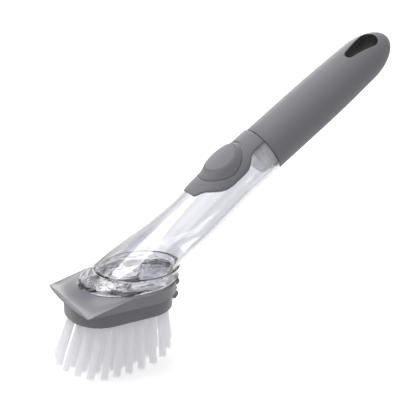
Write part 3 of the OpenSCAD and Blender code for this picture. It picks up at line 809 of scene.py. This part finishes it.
def edge_at(outline, middle, turn):
    """Where a ray from the middle, at this turn, leaves a closed outline."""
    ray = Vector((math.cos(turn), math.sin(turn)))
    across = Vector((-ray.y, ray.x))
    for start, end in zip(outline, outline[1:] + outline[:1]):
        a = (start - middle).dot(across)
        b = (end - middle).dot(across)
        if a <= 1e-7 < b:
            hit = start + (end - start) * (a / (a - b))
            if (hit - middle).dot(ray) > 0:
                return hit
    return middle


surround_turns = ring_turns(180)
bulb_middle = Vector((-bulb_back, 0))
hole_size = bulb_a + hole_gap, bulb_b + hole_gap
hole_line = [bulb_middle + Vector((hole_size[0] * math.cos(t), hole_size[1] * math.sin(t)))
             for t in surround_turns]
outer_line = [edge_at(mirrored(surround_side), bulb_middle, t) for t in surround_turns]


def surround_ring(share, r):
    """A ring between the hole, at 0, and the outline, at 1, on a cylinder of radius r."""
    return [on_tube(*inner.lerp(outer, share), r) for inner, outer in zip(hole_line, outer_line)]


rings = [surround_ring(0, bottom_r), surround_ring(0.0, top_r - 0.3), surround_ring(0.04, top_r)]
rings += [surround_ring(k / 8, top_r) for k in range(1, 8)]
rings += [surround_ring(0.95, top_r), surround_ring(1.0, top_r - 0.3), surround_ring(1.0, bottom_r)]
rings += [surround_ring(k / 8, bottom_r) for k in range(7, 0, -1)]
bm = bmesh.new()
skin(bm, rings, close="loop")
finish("button_surround_skin", bm, soft_grey, "reservoir", "button_surround", 50)

# %% [markdown]
# The bulb is a soft cone with an oval foot. The pad has a firm flat face, arched across like the
# tube, with a crisp edge all round.

# %% Bulb and pad
bead_ring = seat_ring(0.35, 0.35, 17.35)
top_ring = crown_ring(0.75, 0.5)
inner_top = crown_ring(0.1, 1.6)
inner_foot = seat_ring(2.65, 2.45, 16.8)
bm = bmesh.new()
skin(bm, [seat_ring(0.1, 0.1, 16.68), seat_ring(0, 0, 17.0)]
     + [between(bead_ring, top_ring, k / 6) for k in range(7)]
     + [crown_ring(0.45, 0.3), crown_ring(0.12, 0.35)]
     + [between(inner_top, inner_foot, k / 4) for k in range(5)]
     + [seat_ring(1.45, 1.25, 16.68)], close="loop")
bulb = finish("soft_bulb", bm, soft_grey, None, "pump_bulb", 60)
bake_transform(bulb)

pad_profile = [(0.97, 2.4), (1.0, 2.1), (1.0, 0.7), (0.995, 0.45), (0.98, 0.28), (0.955, 0.18),
               (0.9, 0.13), (0.75, 0.08), (0.5, 0.04), (0.25, 0.01), (0.06, 0)]
bm = bmesh.new()
skin(bm, [crown_ring(0, drop, scale) for scale, drop in pad_profile], close="ends")
finish("press_pad", bm, soft_grey, "button", "button_pad", 50)

# %% [markdown]
# The tufted block is a plain moulding with a rounded lower edge and a shallow seat for the tufts.
# Its plan is a rectangle with very round corners, so its rings are that plan, drawn in by an inset.

# %% Tufted block
block_z = 34.0
block_l = 71.0
block_w = 47.6
block_r = 21.5
lower_edge = 2.0


def plan_ring(inset, z):
    """A ring with the block's plan, drawn in by inset."""
    l = block_l / 2 - inset
    w = block_w / 2 - inset
    r = block_r - inset
    steps = sides // 4
    ring = []
    for corner, (sx, sy) in enumerate([(1, 1), (-1, 1), (-1, -1), (1, -1)]):
        for i in range(steps):
            t = math.pi / 2 * (corner + i / (steps - 1))
            ring.append(Vector((sx * (l - r) + r * math.cos(t), sy * (w - r) + r * math.sin(t), z)))
    return ring


edge_turns = [math.radians(a) for a in range(0, 91, 15)]
rounded = [(lower_edge * (1 - math.sin(a)), lower_edge * (1 - math.cos(a))) for a in edge_turns]
bm = bmesh.new()
skin(bm, [plan_ring(2.45, block_z + 1.5), plan_ring(2.45, block_z + 0.1), plan_ring(2.2, block_z)]
     + [plan_ring(inset, block_z + rise) for inset, rise in rounded]
     + [plan_ring(0, rim_z - 0.02), plan_ring(5, rim_z - 0.02), plan_ring(5, rim_z + 2.2)], close="ends")
finish("tufted_block", bm, block_grey, "head", "brush_block")

# %% [markdown]
# The head shell is the grey moulding between the reservoir and the brush. In front it ends in a
# scraper lip with two sharp corners. Its top is a concave skirt: it leaves a crest on the side
# walls, dips, and climbs to the oval foot. One skin follows it, ring by ring, from the outline
# inwards, and goes on down into the pocket of the foot and round under the seat of the block.

# %% Outline of the head shell
lip_x = -35.5
lip_corner = 29.3
lip_bow = 2.4
lip_t = 1.3
shell_rear = 36.7
shell_r = 27.0
shell_h = shell_top - rim_z
side_steps = 64
lip_steps = 18
foot_middle = Vector((foot_x, 0))
corner_turn = math.atan2(lip_corner, lip_x - foot_x)
half_turns = [corner_turn * i / side_steps for i in range(side_steps)]
half_turns += [corner_turn + (math.pi - corner_turn) * i / lip_steps for i in range(lip_steps + 1)]
shell_turns = half_turns + [2 * math.pi - t for t in half_turns[-2:0:-1]]


def lip_line(y):
    """How far the bowed edge of the lip stands in front of its corners, at y."""
    arc_r = (lip_corner ** 2 + lip_bow ** 2) / (2 * lip_bow)
    return math.sqrt(arc_r * arc_r - y * y) - (arc_r - lip_bow)


rear_middle = Vector((shell_rear - shell_r, 3))
rear_turns = [math.radians(3 * i) for i in range(31)]
shell_side = [rear_middle + shell_r * Vector((math.cos(a), math.sin(a))) for a in rear_turns]
lip_ys = [lip_corner * (1 - i / 12) for i in range(13)]
shell_side += [Vector((lip_x - lip_line(y), y)) for y in lip_ys]
shell_edge = [edge_at(mirrored(shell_side), foot_middle, t) for t in shell_turns]
print("lip corner at", tuple(round(v, 1) for v in shell_edge[side_steps]))

# %% Rings of the head shell
pocket_a = 28.0
pocket_b = 21.3
pocket_z = 51.0
bore_r = 3.2
seat_high = rim_z + 2.3
seat_inset = 4.9
crest_low = 0.15
crest_start = 0.4
crest_slope = 0.2254


def polar_oval(a, b, z):
    """An oval ring whose corners stand at the shell's turns."""
    ring = []
    for t in shell_turns:
        far = 1 / math.hypot(math.cos(t) / a, math.sin(t) / b)
        ring.append(Vector((foot_x + far * math.cos(t), far * math.sin(t), z)))
    return ring


def bore_ring(z):
    """A ring of the bore that the soap spigot goes through."""
    return [Vector((outlet_x + bore_r * math.cos(t), bore_r * math.sin(t), z)) for t in shell_turns]


def crest(x):
    """Height of the side wall over the rim: next to nothing at the lip, full beside the foot."""
    return max(crest_low, min(shell_h, crest_start + crest_slope * (x - lip_x)))


top_edge = polar_oval(34.1, 27.4, shell_top)


def lip_share(p, q):
    """How much of the way from the edge at p to the foot at q is the bevel of the lip."""
    return max(0.02, (lip_x - p.x) / (q.x - p.x)) if p.x < lip_x else 0.02


def skirt_ring(v):
    """A ring of the concave top: v is 0 where the lip's bevel ends and 1 at the foot."""
    climb = 0.25 * v + 0.75 * v ** 2.6
    ring = []
    for p, q in zip(shell_edge, top_edge):
        share = lip_share(p, q)
        at = p.lerp(q.to_2d(), share + (1 - share) * v)
        thick = (lip_t - crest_low) * (1 - (p.y / lip_corner) ** 4) if p.x < lip_x else 0
        low = crest(p.x) + thick
        ring.append(Vector((at.x, at.y, rim_z + low + (shell_h - low) * climb)))
    return ring


def wall_ring(inset, height):
    """A ring on the side wall, height mm over the rim, never above the crest."""
    ring = []
    for p, q in zip(shell_edge, top_edge):
        at = p + (q.to_2d() - p).normalized() * inset
        ring.append(Vector((at.x, at.y, rim_z + min(height, crest(p.x)))))
    return ring


seat_outline = [p.to_2d() for p in plan_ring(seat_inset, 0)]
seat_edge = [edge_at(seat_outline, foot_middle, t) for t in shell_turns]


def seat_wall(z):
    """A ring of the seat that holds the block."""
    return [Vector((p.x, p.y, z)) for p in seat_edge]


# %% [markdown]
# The shell's skin goes up the wall, over the skirt, down into the pocket, through the bore and out
# at the seat. At the rear, two lugs and a pin carry the release tab. They are simple closed solids
# that stand in the wall, because a hidden joint needs no blend.

# %% Head shell
pin_x = 37.9
pin_z = rim_z - 4


def add_lug(bm, at, size):
    """A box of this size round the point at."""
    lug = bmesh.ops.create_cube(bm, size=1)["verts"]
    bmesh.ops.scale(bm, vec=size, verts=lug)
    bmesh.ops.translate(bm, vec=at, verts=lug)


def add_pin(bm, radius, length):
    """A round pin across the head, where the release tab turns."""
    pin = bmesh.ops.create_cone(bm, cap_ends=True, segments=32, radius1=radius, radius2=radius,
                                depth=length)["verts"]
    bmesh.ops.rotate(bm, verts=pin, matrix=Matrix.Rotation(math.pi / 2, 3, "X"))
    bmesh.ops.translate(bm, vec=(pin_x, 0, pin_z), verts=pin)


bm = bmesh.new()
skin(bm, [wall_ring(0.25, 0.0), wall_ring(0, 0.12), wall_ring(0, 20)]
     + [skirt_ring(k / 14) for k in range(15)]
     + [polar_oval(pocket_a, pocket_b, shell_top), polar_oval(pocket_a, pocket_b, pocket_z)]
     + [bore_ring(pocket_z), bore_ring(seat_high), seat_wall(seat_high), seat_wall(rim_z)], close="loop")
add_lug(bm, at=(pin_x - 1, 0, rim_z + 1.2), size=(4.1, 3.8, 2.4))
add_lug(bm, at=(pin_x, 0, rim_z - 1.9), size=(1.9, 3.8, 4.4))
add_pin(bm, radius=1.6, length=3.8)
add_pin(bm, radius=0.9, length=9.8)
finish("lipped_head_shell", bm, head_grey, "head", "head_shell", 28)

# %% [markdown]
# The tufts stand in three long rings on the block, about one pitch apart. The brush is trimmed
# level in the middle and rises a little at both ends.

# %% Tuft positions
tuft_pitch = 7.1
track_gap = tuft_pitch + 0.4
track_inset = 4
rear_trim = 8.5
front_trim = 2.5
level_from = -16
level_to = -6
outermost = block_l / 2 - track_inset


def oval_track(a, b, d):
    """The point at distance d along a long ring with half length a and half width b."""
    side = 2 * (a - b)
    turn = math.pi * b
    if d < side:
        return Vector((d - side / 2, -b))
    if d < side + turn:
        t = (d - side) / b - math.pi / 2
        return Vector((a - b + b * math.cos(t), b * math.sin(t)))
    if d < 2 * side + turn:
        return Vector((side / 2 - (d - side - turn), b))
    t = (d - 2 * side - turn) / b + math.pi / 2
    return Vector((b - a + b * math.cos(t), b * math.sin(t)))


def tufts_on(track):
    """The middles of the tufts on one track, 0 being the outermost."""
    a = block_l / 2 - track_inset - track * track_gap
    b = block_w / 2 - track_inset - track * track_gap
    way_round = 4 * (a - b) + 2 * math.pi * b
    count = int(way_round / tuft_pitch)
    return [oval_track(a, b, (i + 0.5) * way_round / count) for i in range(count)]


def tip_rise(x):
    """How far above the scrub face the brush is trimmed, over a tuft at x."""
    rear = rear_trim * max(0, (x - level_to) / (outermost - level_to)) ** 2
    front = front_trim * max(0, (level_from - x) / (level_from + outermost)) ** 2
    return rear + front


tufts = [spot for track in range(3) for spot in tufts_on(track)]
print(len(tufts), "tufts")

# %% [markdown]
# A tuft is about forty nylon filaments, folded into one hole and fanned out towards the tips. The
# filaments could be hair, but hair isn't a mesh that can be kept. Each filament here is a slim rod
# of three sides with a pointed tip, cut a little longer or shorter than its neighbours, with a small
# random lean. They are placed on a spiral by the golden angle, which fills a round tuft evenly.

# %% One filament
bristle_l = 34.0
spread_x = 1.24
spread_y = 1.33
lean_forward = 5.2
root_depth = 0.6
filament_profile = ((0, 0.17), (0.35, 0.17), (0.7, 0.17), (0.97, 0.16), (1.0, 0.08))

one = bmesh.new()
skin(one, [[Vector((r * math.cos(t), r * math.sin(t), share)) for t in ring_turns(3)]
           for share, r in filament_profile], close="ends")
bmesh.ops.recalc_face_normals(one, faces=one.faces)
# The copies hang head down, which turns their faces round, so the pattern's faces are turned first.
bmesh.ops.reverse_faces(one, faces=one.faces)
pattern = bpy.data.meshes.new("one_filament")
one.to_mesh(pattern)
one.free()
print("one filament has", len(pattern.polygons), "faces")


def filament(bm, root, rise, bow):
    """Adds a copy of the pattern, from its root on the block to its tip."""
    way = Vector(((spread_x - 1) * root.x - lean_forward, (spread_y - 1) * root.y, -bristle_l))
    way *= 1 - rise / bristle_l
    start = Vector((root.x, root.y, block_z + root_depth))
    known = len(bm.verts)
    bm.from_mesh(pattern)
    bm.verts.ensure_lookup_table()
    for corner in bm.verts[known:]:
        share = corner.co.z
        section = Vector((corner.co.x, corner.co.y, 0))
        corner.co = start + way * share + bow * (share * share) + section


# %% Tufts and their plate
filaments = 40
tuft_radius = 1.7
golden_turn = math.pi * (3 - math.sqrt(5))
root_stray = 0.1
uneven_cut = 0.9
fan = 0.22
bow_stray = 0.35
brush_end = 60
centre_half = 11
chance = random.Random(7)


def plate_slice(low, high):
    """A mesh of the white plate between low and high."""
    bm = bmesh.new()
    skin(bm, [plan_ring(2.65, block_z + 0.05), plan_ring(2.65, block_z + 1.45)], close="ends")
    for x, lower in ((low, True), (high, False)):
        bmesh.ops.bisect_plane(bm, geom=bm.verts[:] + bm.edges[:] + bm.faces[:], dist=0.0001,
                               plane_co=(x, 0, 0), plane_no=(1, 0, 0),
                               clear_inner=lower, clear_outer=not lower)
    bmesh.ops.holes_fill(bm, edges=[e for e in bm.edges if e.is_boundary])
    bmesh.ops.recalc_face_normals(bm, faces=bm.faces)
    plate = bpy.data.meshes.new("plate")
    bm.to_mesh(plate)
    bm.free()
    return plate


def add_tuft(bm, tuft):
    """Adds the filaments of one tuft, all a little different."""
    for i in range(filaments):
        out = tuft_radius * math.sqrt((i + 0.5) / filaments)
        root = tuft + out * Vector((math.cos(i * golden_turn), math.sin(i * golden_turn)))
        root.x += chance.uniform(-root_stray, root_stray)
        root.y += chance.uniform(-root_stray, root_stray)
        rise = tip_rise(root.x) + chance.uniform(0.0, uneven_cut)
        bow = ((root - tuft) * fan).to_3d()
        bow.x += chance.uniform(-bow_stray, bow_stray)
        bow.y += chance.uniform(-bow_stray, bow_stray)
        filament(bm, root, rise, bow)


def brush(name, node, low, high):
    """The white plate and all tufts that stand between low and high."""
    plate = plate_slice(low, high)
    bm = bmesh.new()
    # The plate comes from a mesh, because a bmesh that was cut puts new corners in its old gaps.
    bm.from_mesh(plate)
    bpy.data.meshes.remove(plate)
    for tuft in tufts:
        if low < tuft.x < high:
            add_tuft(bm, tuft)
    bmesh.ops.scale(bm, vec=(mm, mm, mm), verts=bm.verts)
    for face in bm.faces:
        face.smooth = True
    stand_for(new_object(name, bm, nylon), "head", node)


brush("tufts_front", "bristles_front", -brush_end, -centre_half)
brush("tufts_centre", "bristles_centre", -centre_half, centre_half)
brush("tufts_rear", "bristles_rear", centre_half, brush_end)

# %% [markdown]
# The rest of the CAD nodes already have the right shape, and only get their finishes: the release
# tab, the seals, the valve, the tuft anchors and the core of the grip.

# %% Finishes of the CAD nodes
node_finish = {
    "release_tab": head_grey,
    "handle_core": frosted,
    "stopper_plug": frosted,
    "neck_seal": seal_black,
    "bulb_retainer": milky,
    "outlet_valve": milky,
    "valve_retainer": clear_plastic,
    "outlet_seal": seal_black,
    "tuft_anchors": steel,
}
for node, material in node_finish.items():
    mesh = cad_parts[node].data
    mesh.materials.clear()
    mesh.materials.append(material)
print("finishes set on", len(node_finish), "CAD nodes")
